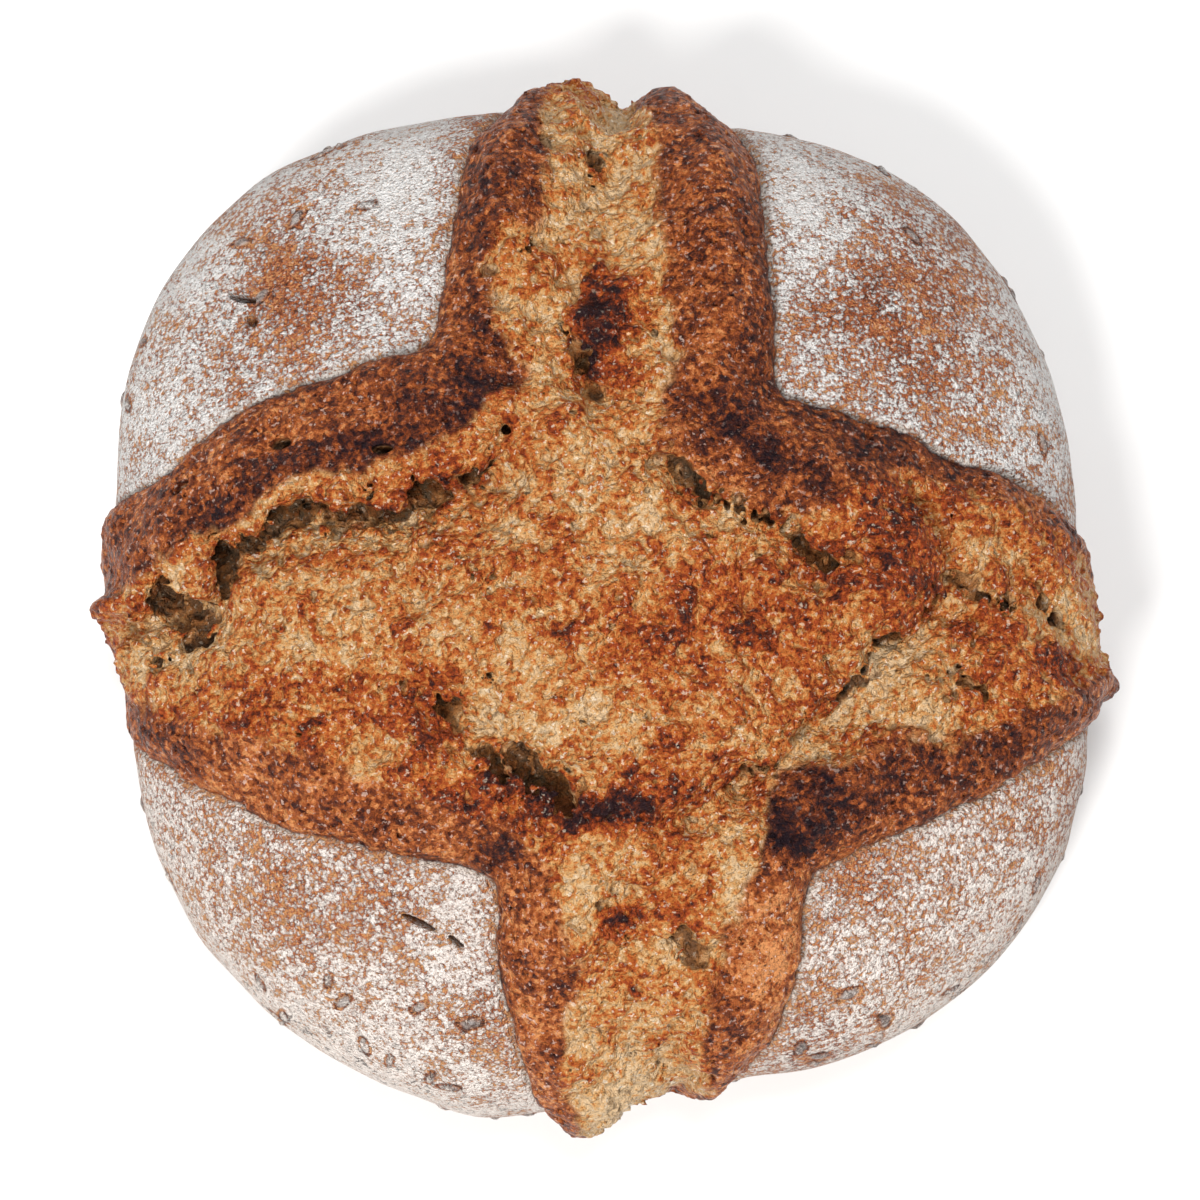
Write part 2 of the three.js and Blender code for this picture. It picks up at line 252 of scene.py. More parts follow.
# How the burst has browned besides its peaks: plan centre, half widths, turn and amount.
TOASTED = [
    ((10, -16), (24, 18), 20, 0.2),  # red middle of the crumb dome
    ((-16, -26), (14, 13), 0, -0.2),  # its pale left side
    ((-4, 20), (16, 14), 0, -0.14),
    ((40, -14), (18, 16), 30, 0.14),
    ((20, -46), (16, 12), 0, 0.1),
    ((-46, -34), (18, 9), -20, 0.3),  # bruise over the south-west trough
    ((-84, -38), (40, 8), 4, 0.14),
    ((-84, -20), (30, 12), 4, -0.1),
    ((90, 12), (30, 14), -10, 0.16),  # skinned over east end
    ((112, -24), (14, 5), 16, 0.3),
    ((-30, -56), (40, 8), -6, 0.26),
    ((-64, -10), (30, 10), 0, 0.02),
    ((-3, 60), (4.6, 15), -8, 0.8),  # scorched tongue
    ((4, 60), (4, 11), -8, 0.38),
    ((0, 110), (9, 36), 0, -0.12),  # pale valley of the north arm
    ((2, 44), (8, 4), 0, 0.26),
    ((118, -14), (9, 7), 0, -0.3),
    ((0, -61), (13, 4.5), 0, 0.6),  # scorched flake over the south arm
    ((3.5, -86), (4.5, 3.5), 0, 0.6),
    ((64, 10), (26, 16), -10, 0.18),  # east ear
    ((70, -8), (14, 12), 0, 0.26),  # east lobe
    ((94, -22), (18, 13), 0, 0.2),  # crumb of the east arm
    ((66, -27), (26, 5), 38, -0.16),
    ((-12, -48), (18, 5), -30, -0.16),
    ((-70, 4), (30, 4), 10, -0.1),
    ((-108, -18), (14, 9), 0, -0.1),
    ((6, -78), (16, 12), 0, 0.06),
    ((10, -112), (14, 18), 0, -0.02),
    ((6, -142), (15, 17), 0, -0.6),
]

# Darker and lighter skin: the same, with the purple-black of the cross's inner corners.
SCORCHED = [
    ((-32, 38), (12, 8), 40, 0.55),
    ((-24, 32), (6, 5), 30, 0.45),
    ((-56, 24), (28, 4), 4, 0.6),
    ((-92, 12), (14, 4), 30, 0.6),
    ((26, 32), (12, 6), -25, 0.65),
    ((42, 20), (12, 6), -30, 0.5),
    ((40, -62), (8, 8), 30, 1.1),
    ((52, -52), (12, 7), 20, 0.4),
    ((-24, -68), (7, 4), 0, 0.5),
    ((-44, -36), (12, 7), -30, 0.35),
    ((-2, -60.5), (9, 3.2), 0, 0.7),
    ((-1, 57), (6, 12), -10, 0.55),
    ((64, 27), (20, 4), -12, 0.15),
    ((80, -48), (26, 7), 18, 0.2),
    ((39, -96), (8, 26), 0, -0.52),
    ((-18, -96), (7, 30), 0, -0.24),
    ((-27, 100), (9, 40), 0, 0.12),
    ((-80, -50), (44, 8), 6, -0.06),
    ((-100, 20), (26, 8), 14, -0.1),
    ((70, 60), (34, 26), -30, 0.35),
    ((-76, -92), (40, 30), 0, -0.35),
    ((70, -96), (30, 26), 0, -0.2),
]

# Where the floured crust has cracked and charred in thin lines: the same.
CRACKED = [
    ((92, -112), (44, 13), 42, 1.0),
    ((-66, -122), (56, 12), -28, 0.9),
    ((-120, -70), (16, 22), 30, 0.6),
    ((-84, 68), (20, 16), 20, 0.7),
    ((112, 44), (20, 20), 0, 0.6),
    ((60, 120), (20, 30), -30, 0.5),
]

# Flour on the crust panels: the same, over a plain dusting.
FLOURED = [
    ((-118, 52), (24, 26), 0, 0.26),
    ((-92, 108), (24, 44), 45, 0.2),
    ((-50, 96), (10, 40), 0, 0.28),
    ((-72, 66), (26, 18), 30, -0.22),
    ((48, 100), (9, 40), 0, 0.34),
    ((78, 112), (22, 44), -45, 0.16),
    ((120, 58), (30, 30), 0, 0.22),
    ((76, 62), (28, 22), -30, -0.22),
    ((-84, -86), (34, 16), 14, -0.05),
    ((-62, -128), (50, 22), -24, 0.4),
    ((-124, -84), (20, 34), 30, 0.2),
    ((-36, -96), (8, 26), 0, 0.1),
    ((74, -92), (24, 20), 0, 0.11),
    ((98, -110), (46, 20), 45, 0.26),
    ((118, -62), (22, 10), 20, -0.14),
]


def smooth(x):
    """0 below 0, 1 above 1, and an even turn between."""
    x = np.clip(x, 0, 1)
    return x * x * (3 - 2 * x)


def smooth_line(points, step=2.0):
    """Points about this far apart on a curve that passes through the given ones."""
    p = np.array(points, float)
    p = np.vstack([2 * p[0] - p[1], p, 2 * p[-1] - p[-2]])
    found = []
    for a, b, c, d in zip(p[:-3], p[1:-2], p[2:-1], p[3:]):
        count = max(int(np.linalg.norm(c - b) / step), 1)
        t = (np.arange(count) / count)[:, None]
        bend, twist = 2 * a - 5 * b + 4 * c - d, 3 * b - a - 3 * c + d
        found.append(0.5 * (2 * b + (c - a) * t + bend * t**2 + twist * t**3))
    return np.vstack([*found, p[-2]])


def upsampled(values, places, axis):
    """values along one axis, read at places between them, by cubic weights."""
    low = np.clip(np.floor(places).astype(int), 1, values.shape[axis] - 3)
    t = (places - low).astype(np.float32)
    weights = [
        ((-t + 2) * t - 1) * t / 2,
        ((3 * t - 5) * t * t + 2) / 2,
        ((-3 * t + 4) * t + 1) * t / 2,
        ((t - 1) * t * t) / 2,
    ]
    shape = [1] * values.ndim
    shape[axis] = -1
    total = 0
    for k, weight in enumerate(weights):
        total = total + np.take(values, low + k - 1, axis) * weight.reshape(shape)
    return total.astype(np.float32)


def noise_block(rng, axes, size):
    """Smooth random values from about -1 to 1 on a grid, with features of this size."""
    shape = [int((a[-1] - a[0]) / size) + 6 for a in axes]
    block = rng.uniform(-1.4, 1.4, shape).astype(np.float32)
    for k in np.argsort(shape):
        block = upsampled(block, (axes[k] - axes[k][0]) / size + 2, k)
    return block


class Plan:
    """Maps over the unrolled plan, on a coarse grid for distances and a fine one for the rest."""

    def __init__(self):
        self.coarse = np.arange(-PLAN_HALF, PLAN_HALF + COARSE, COARSE)
        self.fine = np.arange(-PLAN_HALF, PLAN_HALF, FINE)
        self.x, self.y = np.meshgrid(self.fine, self.fine, indexing="ij")
        self.places = (self.fine + PLAN_HALF) / COARSE

    def noise(self, rng, size):
        return noise_block(rng, (self.fine, self.fine), size)

    def refined(self, values):
        for axis in (0, 1):
            values = upsampled(values, self.places, axis)
        return values

    def near(self, line, reach=1e9):
        """Distance to a line, signed + on its left, and the share of the line at the nearest point."""
        x, y = np.meshgrid(self.coarse, self.coarse, indexing="ij")
        low, high = line.min(0) - reach, line.max(0) + reach
        i = [np.searchsorted(self.coarse, v) for v in (low[0], high[0], low[1], high[1])]
        window = (slice(i[0], i[1]), slice(i[2], i[3]))
        x, y = x[window], y[window]
        best = np.full(x.shape, 1e9)
        side, share = np.ones(x.shape), np.zeros(x.shape)
        lengths = np.linalg.norm(np.diff(line, axis=0), axis=1)
        total, done = lengths.sum(), 0.0
        for a, b, length in zip(line[:-1], line[1:], lengths):
            dx, dy = (b - a) / length
            t = np.clip((x - a[0]) * dx + (y - a[1]) * dy, 0, length)
            ox, oy = x - a[0] - t * dx, y - a[1] - t * dy
            gap = ox * ox + oy * oy
            closer = gap < best
            best[closer] = gap[closer]
            side[closer] = np.sign(dx * oy - dy * ox)[closer]
            share[closer] = ((done + t) / total)[closer]
            done += length
        distance = np.full((len(self.coarse),) * 2, min(reach, 400.0))
        along = np.zeros(distance.shape)
        distance[window] = np.sqrt(best) * side
        along[window] = share
        return distance, along

    def depth_in(self, outline):
        """Signed distance to a closed line, positive inside."""
        line = np.vstack([outline, outline[:1]])
        distance = np.abs(self.near(line)[0])
        x, y = np.meshgrid(self.coarse, self.coarse, indexing="ij")
        inside = np.zeros(x.shape, bool)
        for a, b in zip(line[:-1], line[1:]):
            if a[1] != b[1]:
                spans = (a[1] > y) != (b[1] > y)
                inside ^= spans & (x < (b[0] - a[0]) * (y - a[1]) / (b[1] - a[1]) + a[0])
        return self.refined(np.where(inside, distance, -distance))

    def spots(self, rows):
        """The sum of soft oval spots, each with a centre, half widths, a turn and an amount."""
        total = np.zeros(self.x.shape, np.float32)
        for (cx, cy), (rx, ry), turn, amount in rows:
            angle = math.radians(turn)
            dx, dy = self.x - cx, self.y - cy
            along = (dx * math.cos(angle) + dy * math.sin(angle)) / rx
            across = (dy * math.cos(angle) - dx * math.sin(angle)) / ry
            total += amount * np.exp(-(along**2 + across**2))
        return total

    def read(self, values, x, y):
        """values at plan points, between the grid's own."""
        px = np.clip((x + PLAN_HALF) / FINE, 0, values.shape[0] - 1.001)
        py = np.clip((y + PLAN_HALF) / FINE, 0, values.shape[1] - 1.001)
        i, j = px.astype(np.int32), py.astype(np.int32)
        s, t = (px - i).astype(np.float32), (py - j).astype(np.float32)
        flat, width = values.ravel(), values.shape[1]
        k = i * width + j
        low = flat[k] * (1 - t) + flat[k + 1] * t
        high = flat[k + width] * (1 - t) + flat[k + width + 1] * t
        return low * (1 - s) + high * s


def cross_outline():
    """The whole edge of the burst, round the four panels."""
    line = []
    for name in ("west", "north", "east", "south"):
        line += [TIPS[name], *EDGES[name]]
    return smooth_line(line + [TIPS["west"]])[:-1]


def edges_and_crumb(plan, rng):
    """How ragged edges are, depth inside the burst, and shares of burst and of torn crumb."""
    ragged = 1.5 * plan.noise(rng, 7) + 0.9 * plan.noise(rng, 2.6)
    burst = plan.depth_in(cross_outline()) + 0.5 * plan.noise(rng, 9) + 0.3 * plan.noise(rng, 3)
    crumb = plan.depth_in(smooth_line(CRUMB + CRUMB[:1])[:-1]) + ragged
    in_burst = smooth(burst / 0.8 + 0.5)
    in_crumb = smooth(crumb / 3.0 + 0.5) * in_burst
    return ragged, burst, in_burst, in_crumb


def shoulder(plan, burst):
    """How the burst rises from the panels' edges, from 0 to 1: round, or slower in places."""
    slow = plan.spots(SLOW_SHOULDERS)
    rise = np.clip(burst / (BAND_WIDTH + slow), 0, 1)
    gentle = np.clip(slow / 7, 0, 1)
    return (1 - gentle) * np.sqrt(1 - (1 - rise) ** 2) + gentle * np.sin(rise * np.pi / 2)


def lip_drops(plan, ragged):
    """How far the crumb falls away beside each torn edge."""
    drops = np.zeros(plan.x.shape, np.float32)
    for line, side, drop, reach in LIPS:
        gap, share = plan.near(smooth_line(line), 40)
        close = smooth((34 - plan.refined(np.abs(gap))) / 8)
        gap = plan.refined(gap * side) + 0.6 * ragged
        share = plan.refined(share)
        taper = smooth(share / 0.08) * smooth((1 - share) / 0.12) * close
        fall = smooth(gap / 1.3 + 0.3) * np.exp(-((np.maximum(gap, 0) / reach) ** 2))
        drops += drop * taper * fall
    return drops


def relief(plan, rng, ragged, burst, in_burst, in_crumb):
    """The height of the surface over the plain dome."""
    shape = BAND_HEIGHT + plan.spots(LUMPS)
    for line, half, deep in CHANNELS:
        gap = plan.refined(np.abs(plan.near(smooth_line(line), 30)[0]))
        shape -= deep * np.exp(-((gap / half) ** 2)) * (1 + 0.4 * plan.noise(rng, 8))
    large, small = plan.noise(rng, 14), plan.noise(rng, 6)
    swell = (0.8 + 0.6 * in_crumb) * large + (0.5 + 0.6 * in_crumb) * small
    height = (shape + swell * in_burst) * shoulder(plan, burst) - lip_drops(plan, ragged) * in_burst
    # The crease at the panels' edges, and the panels' own curled rims and slow unevenness.
    height -= CREASE * np.exp(-((burst - 0.4) ** 2))
    height += 0.45 * np.exp(-(((burst + 2.5) / 2.5) ** 2)) * (1 - in_burst)
    height += plan.spots(BULGES)
    height += (0.8 * plan.noise(rng, 38) + 0.35 * plan.noise(rng, 13)) * (1 - 0.5 * in_burst)
    return height


def draw_plan(plan, rng):
    """The height of the surface and how it baked, as maps over the plan."""
    ragged, burst, in_burst, in_crumb = edges_and_crumb(plan, rng)
    height = relief(plan, rng, ragged, burst, in_burst, in_crumb)
    toast = plan.spots(TOASTED) + 0.10 * plan.noise(rng, 14) + 0.06 * plan.noise(rng, 5)
    scorch = plan.spots(SCORCHED) * (1 + 0.35 * plan.noise(rng, 5)) + 0.10 * plan.noise(rng, 10)
    flour = 0.46 + plan.spots(FLOURED) + 0.08 * plan.noise(rng, 22) + 0.05 * plan.noise(rng, 8)
    return {
        "height": height,
        "burst": burst,
        "crumb": in_crumb,
        "toast": toast,
        "scorch": scorch,
        "flour": flour,
        "crack": plan.spots(CRACKED),
        "torn": (0.45 + 0.55 * in_crumb) * in_burst,
    }


class Dome:
    """The plain dome under the relief: its profile, and the way to and from its plan and height."""

    def __init__(self):
        turn = np.linspace(0, np.pi / 2, 500)
        power = 2 / CROWN_ROUNDNESS
        upper_r = WIDEST_RADIUS * np.sin(turn) ** power
        upper_z = WIDEST_HEIGHT + (CROWN_HEIGHT - WIDEST_HEIGHT) * np.cos(turn).clip(0) ** power
        lower_r = BASE_RADIUS + (WIDEST_RADIUS - BASE_RADIUS) * np.cos(turn[1:])
        lower_z = WIDEST_HEIGHT * (1 - np.sin(turn[1:]))
        r, z = np.append(upper_r, lower_r), np.append(upper_z, lower_z)
        arc = np.append(0, np.cumsum(np.hypot(np.diff(r), np.diff(z))))
        self.rim = arc[-1]
        self.arc = np.linspace(0, self.rim, 700)
        self.r, self.z = np.interp(self.arc, arc, r), np.interp(self.arc, arc, z)
        along_r, along_z = np.gradient(self.r), np.gradient(self.z)
        length = np.hypot(along_r, along_z)
        self.along = np.stack([along_r, along_z], 1) / length[:, None]
        self.out = np.stack([-self.along[:, 1], self.along[:, 0]], 1)
        self.table_r = np.arange(0, WIDEST_RADIUS + 30, 1.0)

    def rows(self, z):
        """Arc length and height over the dome for each radius of the table, at this level."""
        dr = self.table_r[:, None] - self.r
        dz = z - self.z
        nearest = np.argmin(dr * dr + dz * dz, 1)
        pick = np.arange(len(nearest))
        dr, dz = dr[pick, nearest], dz[nearest]
        along, out = self.along[nearest], self.out[nearest]
        s = self.arc[nearest] + dr * along[:, 0] + dz * along[:, 1]
        return np.clip(s, 0, self.rim), dr * out[:, 0] + dz * out[:, 1]

    def reach(self, azimuth, z):
        filled = 0.4 + 0.6 * smooth(z / WIDEST_HEIGHT)
        bulge = 0
        for turns, cosine, sine in OUTLINE:
            bulge = bulge + cosine * np.cos(turns * azimuth) + sine * np.sin(turns * azimuth)
        return 1 + filled * bulge

    def place(self, x, y, height):
        """The loaf's point at plan points with heights over the dome, and the normals there."""
        x, y, height = (np.asarray(v, float) for v in (x, y, height))
        s, azimuth = np.hypot(x, y), np.arctan2(y, x)
        r, z = np.interp(s, self.arc, self.r), np.interp(s, self.arc, self.z)
        out_r, out_z = (np.interp(s, self.arc, self.out[:, k]) for k in (0, 1))
        z = z + height * out_z
        r = r * self.reach(azimuth, z) + height * out_r
        cos, sin = np.cos(azimuth), np.sin(azimuth)
        return (
            np.stack([r * cos, r * sin, z], -1),
            np.stack([out_r * cos, out_r * sin, out_z], -1),
        )

    def to_plan(self, points):
        """The plan points and heights of loaf points."""
        x, y, z = points.T
        azimuth = np.arctan2(y, x)
        r = np.hypot(x, y) / self.reach(azimuth, z)
        levels = np.arange(-2, z.max() + 2, 1.0)
        rows = np.array([self.rows(level) for level in levels])
        pz, pr = z - levels[0], np.clip(r, 0, len(self.table_r) - 1.001)
        k, i = pz.astype(int), pr.astype(int)
        t, f = pz - k, pr - i
        s, height = (
            (rows[k, n, i] * (1 - f) + rows[k, n, i + 1] * f) * (1 - t)
            + (rows[k + 1, n, i] * (1 - f) + rows[k + 1, n, i + 1] * f) * t
            for n in (0, 1)
        )
        return s * np.cos(azimuth), s * np.sin(azimuth), height


class Block:
    """A box of cells that holds the distance to the loaf's surface, negative inside it."""

    def __init__(self, dome):
        side = WIDEST_RADIUS + 12
        self.dome = dome
        self.axes = [
            np.arange(-side, side, STEP),
            np.arange(-side, side, STEP),
            np.arange(-3 * STEP, CROWN_HEIGHT + 22, STEP),
        ]
        self.values = np.empty([len(a) for a in self.axes], np.float32)

    def fill(self, plan, maps):
        """The loaf between its underside and the plan's height map, with its torn parts rough."""
        x, y = np.meshgrid(self.axes[0], self.axes[1], indexing="ij")
        radius, azimuth = np.hypot(x, y), np.arctan2(y, x)
        cos, sin = np.cos(azimuth), np.sin(azimuth)
        gx, gy = np.gradient(maps["height"], FINE)
        steep = (1 / np.sqrt(1 + np.minimum(gx * gx + gy * gy, 16))).astype(np.float32)
        self.torn = np.zeros(self.values.shape, np.float32)
        for k, z in enumerate(self.axes[2]):
            s_row, h_row = self.dome.rows(z)
            r = radius / self.dome.reach(azimuth, z)
            s = np.interp(r, self.dome.table_r, s_row)
            value = np.interp(r, self.dome.table_r, h_row)
            near = (value > SHELL[0]) & (value < SHELL[1])
            px, py = (s * cos)[near], (s * sin)[near]
            level = (value[near] - plan.read(maps["height"], px, py)) * plan.read(steep, px, py)
            value[near] = level
            self.torn[:, :, k][near] = plan.read(maps["torn"], px, py) * (1 + 0.7 * smooth(-level / 3))
            self.values[:, :, k] = np.maximum(value, -z)

    def roughen(self, rng):
        """Makes the torn parts rough, caves and all."""
        for size, amount in ROUGHNESS:
            self.values += amount * self.torn * noise_block(rng, self.axes, size)

    def window(self, centre, reach):
        """The cells round a point, and their places relative to it."""
        cut, local = [], []
        for axis, c in zip(self.axes, centre):
            low, high = np.searchsorted(axis, (c - reach, c + reach))
            cut.append(slice(max(low, 0), high))
            local.append(axis[max(low, 0) : high] - c)
        return tuple(cut), np.meshgrid(*local, indexing="ij", sparse=True)

    def oval(self, centre, halves, turn):
        """The cells near an oval body, and their distance to it."""
        cut, (x, y, z) = self.window(centre, max(halves) + 2 * STEP)
        total = 0
        for direction, half in zip(turn, halves):
            total = total + ((x * direction[0] + y * direction[1] + z * direction[2]) / half) ** 2
        return cut, (np.sqrt(total) - 1) * min(halves)

    def carve(self, centre, halves, turn):
        cut, gap = self.oval(centre, halves, turn)
        self.values[cut] = np.maximum(self.values[cut], -gap)

    def add(self, centre, halves, turn):
        cut, gap = self.oval(centre, halves, turn)
        self.values[cut] = np.minimum(self.values[cut], gap)

    def blurred(self, cells):
        """How much of the space round each second cell is inside the loaf, from 0 to 1."""
        even = [n - n % 2 for n in self.values.shape]
        solid = np.clip(0.5 - self.values[: even[0], : even[1], : even[2]] / (2 * STEP), 0, 1)
        solid = solid.reshape(even[0] // 2, 2, even[1] // 2, 2, even[2] // 2, 2).mean((1, 3, 5))
        for axis in range(3):
            margins = [(cells + 1, cells) if k == axis else (0, 0) for k in range(3)]
            padded = np.pad(solid, margins, "edge")
            sums = np.cumsum(padded, axis, dtype=np.float64)
            width = 2 * cells + 1
            high = np.take(sums, range(width, sums.shape[axis]), axis)
            low = np.take(sums, range(0, sums.shape[axis] - width), axis)
            solid = ((high - low) / width).astype(np.float32)
        return solid


def turned(normal, angle):
    """Three directions at right angles: two over the surface, the first turned by angle, and out."""
    out = normal / np.linalg.norm(normal)
    first = np.cross((0, 1, 0) if abs(out[1]) < 0.8 else (1, 0, 0), out)
    first /= np.linalg.norm(first)
    second = np.cross(out, first)
    return (
        first * math.cos(angle) + second * math.sin(angle),
        second * math.cos(angle) - first * math.sin(angle),
        out,
    )


def carve_caves(block, rng):
    """Rows of uneven ovals along each cave's line."""
    for line, half, tall in CAVES:
        for x, y, height in smooth_line(line, 1.0):
            size = half * rng.uniform(0.8, 1.2)
            shift = rng.uniform(-0.2, 0.2, 3) * half
            point, normal = block.dome.place(x + shift[0], y + shift[1], height + shift[2])
            turn = turned(normal, rng.uniform(0, math.pi))
            block.carve(point, (size, size * 0.85, tall * size / half), turn)


def carve_holes(block, plan, maps):
    """Holes and slits through the skin and the crust, cut from the surface inwards."""
    for (x, y), (long, wide), turn in HOLES:
        surface = plan.read(maps["height"], np.array(x), np.array(y))
        point, normal = block.dome.place(x, y, surface - HOLE_SUNK)
        block.carve(point, (long, wide, HOLE_DEPTH), turned(normal, math.radians(turn)))


def carve_pores(block, plan, maps, rng):
    """Bubbles cut open all over the torn crumb, and pinholes in the baked skin."""
    x, y = rng.uniform(-175, 175, (2, PORES_TRIED))
    torn = plan.read(maps["crumb"], x, y)
    in_burst = plan.read(maps["burst"], x, y)
    size = 0.55 + 0.45 * rng.pareto(2.6, len(x)).clip(0, 3)
    keep = (torn > 0.6) & (rng.random(len(x)) < PORE_SHARE)
    pinhole = (torn < 0.4) & (in_burst > 2.5) & (rng.random(len(x)) < PINHOLE_SHARE)
    size = np.where(pinhole, 0.35 + 0.32 * size, size)
    keep = np.flatnonzero(keep | pinhole)
    depth = rng.uniform(-0.2, 0.9, len(x)) * size
    heights = plan.read(maps["height"], x, y) - depth
    points, normals = block.dome.place(x[keep], y[keep], heights[keep])
    for k, point, normal in zip(keep, points, normals):
        for _ in range(1 + int(2 * size[k])):
            halves = size[k] * rng.uniform(0.5, 1.1, 3)
            block.carve(point, halves, turned(normal, rng.uniform(0, math.pi)))
            point = point + size[k] * rng.uniform(-0.9, 0.9, 3)


def press_seeds(block, plan, maps, rng):
    """Seeds baked into the crust panels, most of them low. Returns their places and sizes."""
    x, y = rng.uniform(-190, 190, (2, SEEDS_TRIED))
    s = np.hypot(x, y)
    low = smooth((s - 80) / 60)
    front = 0.5 + 0.5 * smooth((10 - y) / 60)
    on_panel = plan.read(maps["burst"], x, y) < -6
    chosen = rng.random(len(x)) < SEED_SHARE * (0.12 + low) * front
    keep = np.flatnonzero(on_panel & (s < 188) & chosen)
    heights = plan.read(maps["height"], x, y) - 0.15
    points, normals = block.dome.place(x[keep], y[keep], heights[keep])
    seeds = []
    for point, normal in zip(points, normals):
        turn = turned(normal + rng.uniform(-0.25, 0.25, 3), rng.uniform(0, math.pi))
        long = rng.uniform(*SEED_LONG)
        seeds.append((point, turn, (long, long * SEED_WIDE, SEED_TALL)))
        block.add(point, seeds[-1][2], turn)
    return seeds


def surface_points(values, cells):
    """For each of these cells, the middle of the points where the surface crosses its edges."""
    total, crossings = np.zeros((len(cells), 3)), np.zeros(len(cells))
    at = {c: values[tuple((cells + c).T)].astype(float) for c in CORNERS}
    for c in CORNERS:
        for axis in range(3):
            if c[axis] == 0:
                d = tuple(v + (k == axis) for k, v in enumerate(c))
                crosses = (at[c] < 0) != (at[d] < 0)
                t = at[c][crosses] / (at[c][crosses] - at[d][crosses])
                spot = np.tile(np.array(c, float), (len(t), 1))
                spot[:, axis] += t
                total[crosses] += spot
                crossings[crosses] += 1
    return cells + total / crossings[:, None]


def surface_quads(inside, number, axis):
    """A face of four numbered cells round each grid edge along one axis that the surface crosses."""
    b, c = (axis + 1) % 3, (axis + 2) % 3
    low, high = [slice(None)] * 3, [slice(None)] * 3
    low[axis], high[axis] = slice(0, -1), slice(1, None)
    spots = np.argwhere(inside[tuple(low)] != inside[tuple(high)])
    for side in (b, c):
        spots = spots[(spots[:, side] > 0) & (spots[:, side] < number.shape[side])]
    ring = []
    for db, dc in ((-1, -1), (0, -1), (0, 0), (-1, 0)):
        cell_at = spots.copy()
        cell_at[:, b] += db
        cell_at[:, c] += dc
        ring.append(number[tuple(cell_at.T)])
    ring = np.stack(ring, 1)
    flip = ~inside[tuple(spots.T)]
    ring[flip] = ring[flip][:, ::-1]
    return ring


def surface_net(values, axes):
    """Vertices and four-sided faces of the surface where the values pass zero."""
    inside = values < 0
    cell = tuple(n - 1 for n in values.shape)
    count = np.zeros(cell, np.uint8)
    for c in CORNERS:
        count += inside[tuple(slice(low, low + n) for low, n in zip(c, cell))]
    cells = np.argwhere((count > 0) & (count < 8))
    number = np.full(cell, -1, np.int32)
    number[tuple(cells.T)] = np.arange(len(cells))
    places = surface_points(values, cells)
    vertices = np.stack([axes[k][0] + STEP * places[:, k] for k in range(3)], 1)
    return vertices, np.concatenate([surface_quads(inside, number, axis) for axis in range(3)])


def largest_part(vertices, quads):
    """Only the vertices and faces that hang together with most others."""
    label = np.arange(len(vertices))
    a, b = quads.ravel(), np.roll(quads, -1, 1).ravel()
    while True:
        before = label.copy()
        lowest = np.minimum(label[a], label[b])
        np.minimum.at(label, a, lowest)
        np.minimum.at(label, b, lowest)
        label = label[label]
        if np.array_equal(before, label):
            break
    keep = label == np.bincount(label).argmax()
    number = np.cumsum(keep) - 1
    return vertices[keep], number[quads[keep[quads[:, 0]]]]


def near_seeds(vertices, seeds):
    """How much each vertex belongs to a seed, and to the seam round one."""
    order = np.argsort(vertices[:, 0])
    x = vertices[order, 0]
    body, seam = np.zeros(len(vertices)), np.zeros(len(vertices))
    for centre, (first, second, out), (long, wide, tall) in seeds:
        near = order[slice(*np.searchsorted(x, (centre[0] - 5, centre[0] + 5)))]
        gap = vertices[near] - centre
        gap = ((gap @ first) / long) ** 2 + ((gap @ second) / wide) ** 2 + ((gap @ out) / 2.5) ** 2
        gap = np.sqrt(gap)
        body[near] = np.maximum(body[near], smooth((1.3 - gap) / 0.5))
        seam[near] = np.maximum(seam[near], np.exp(-(((gap - 1.35) / 0.28) ** 2)))
    return body, seam


def bake_numbers(block, plan, maps, vertices, seeds):
    """What each vertex's material depends on."""
    x, y, height = block.dome.to_plan(vertices)
    read = {name: plan.read(values, x, y) for name, values in maps.items()}
    spots = [(vertices[:, k] - block.axes[k][0]) / (2 * STEP) - 0.25 for k in range(3)]
    spots = [s.round().astype(int) for s in spots]
    peaks = []
    for cells in PEAK_CELLS:
        solid = block.blurred(cells)
        spot = tuple(s.clip(0, n - 1) for s, n in zip(spots, solid.shape))
        peaks.append(0.5 - solid[spot])
    under = smooth((3.0 - vertices[:, 2]) / 3.0)
    below = read["height"] - height
    seed, seam = near_seeds(vertices, seeds)
    return {
        **{name: read[name] for name in ("toast", "scorch", "flour", "crack")},
        "burst": smooth(read["burst"] / 0.8 + 0.5) * (1 - under),
        "crumb": np.maximum(read["crumb"], smooth((below - 2.2) / 1.5) * smooth(read["burst"] / 2)),
        "edge": np.exp(-(((read["burst"] + 0.5) / 0.8) ** 2)),
        "deep": smooth((below - 0.6) / 7) * smooth(read["burst"]),
        "peak": peaks[0],
        "swell": peaks[1],
        "seed": seed,
        "seam": seam,
    }


def make_mesh(vertices, quads, numbers):
    """The Blender mesh, in metres in the CAD frame, with one attribute for each of the numbers."""
    mesh = bpy.data.meshes.new("loaf_crust")
    mesh.vertices.add(len(vertices))
    placed = (vertices + np.array([*AXIS, 0])) / 1000
    mesh.vertices.foreach_set("co", placed.astype(np.float32).ravel())
    mesh.loops.add(quads.size)
    mesh.loops.foreach_set("vertex_index", quads.astype(np.int32).ravel())
    mesh.polygons.add(len(quads))
    mesh.polygons.foreach_set("loop_start", np.arange(0, quads.size, 4, dtype=np.int32))
    mesh.update(calc_edges=True)
    mesh.polygons.foreach_set("use_smooth", np.ones(len(quads), bool))
    for name, values in numbers.items():
        attribute = mesh.attributes.new(name, "FLOAT", "POINT")
        attribute.data.foreach_set("value", values.astype(np.float32))
    mesh.update()
    return mesh


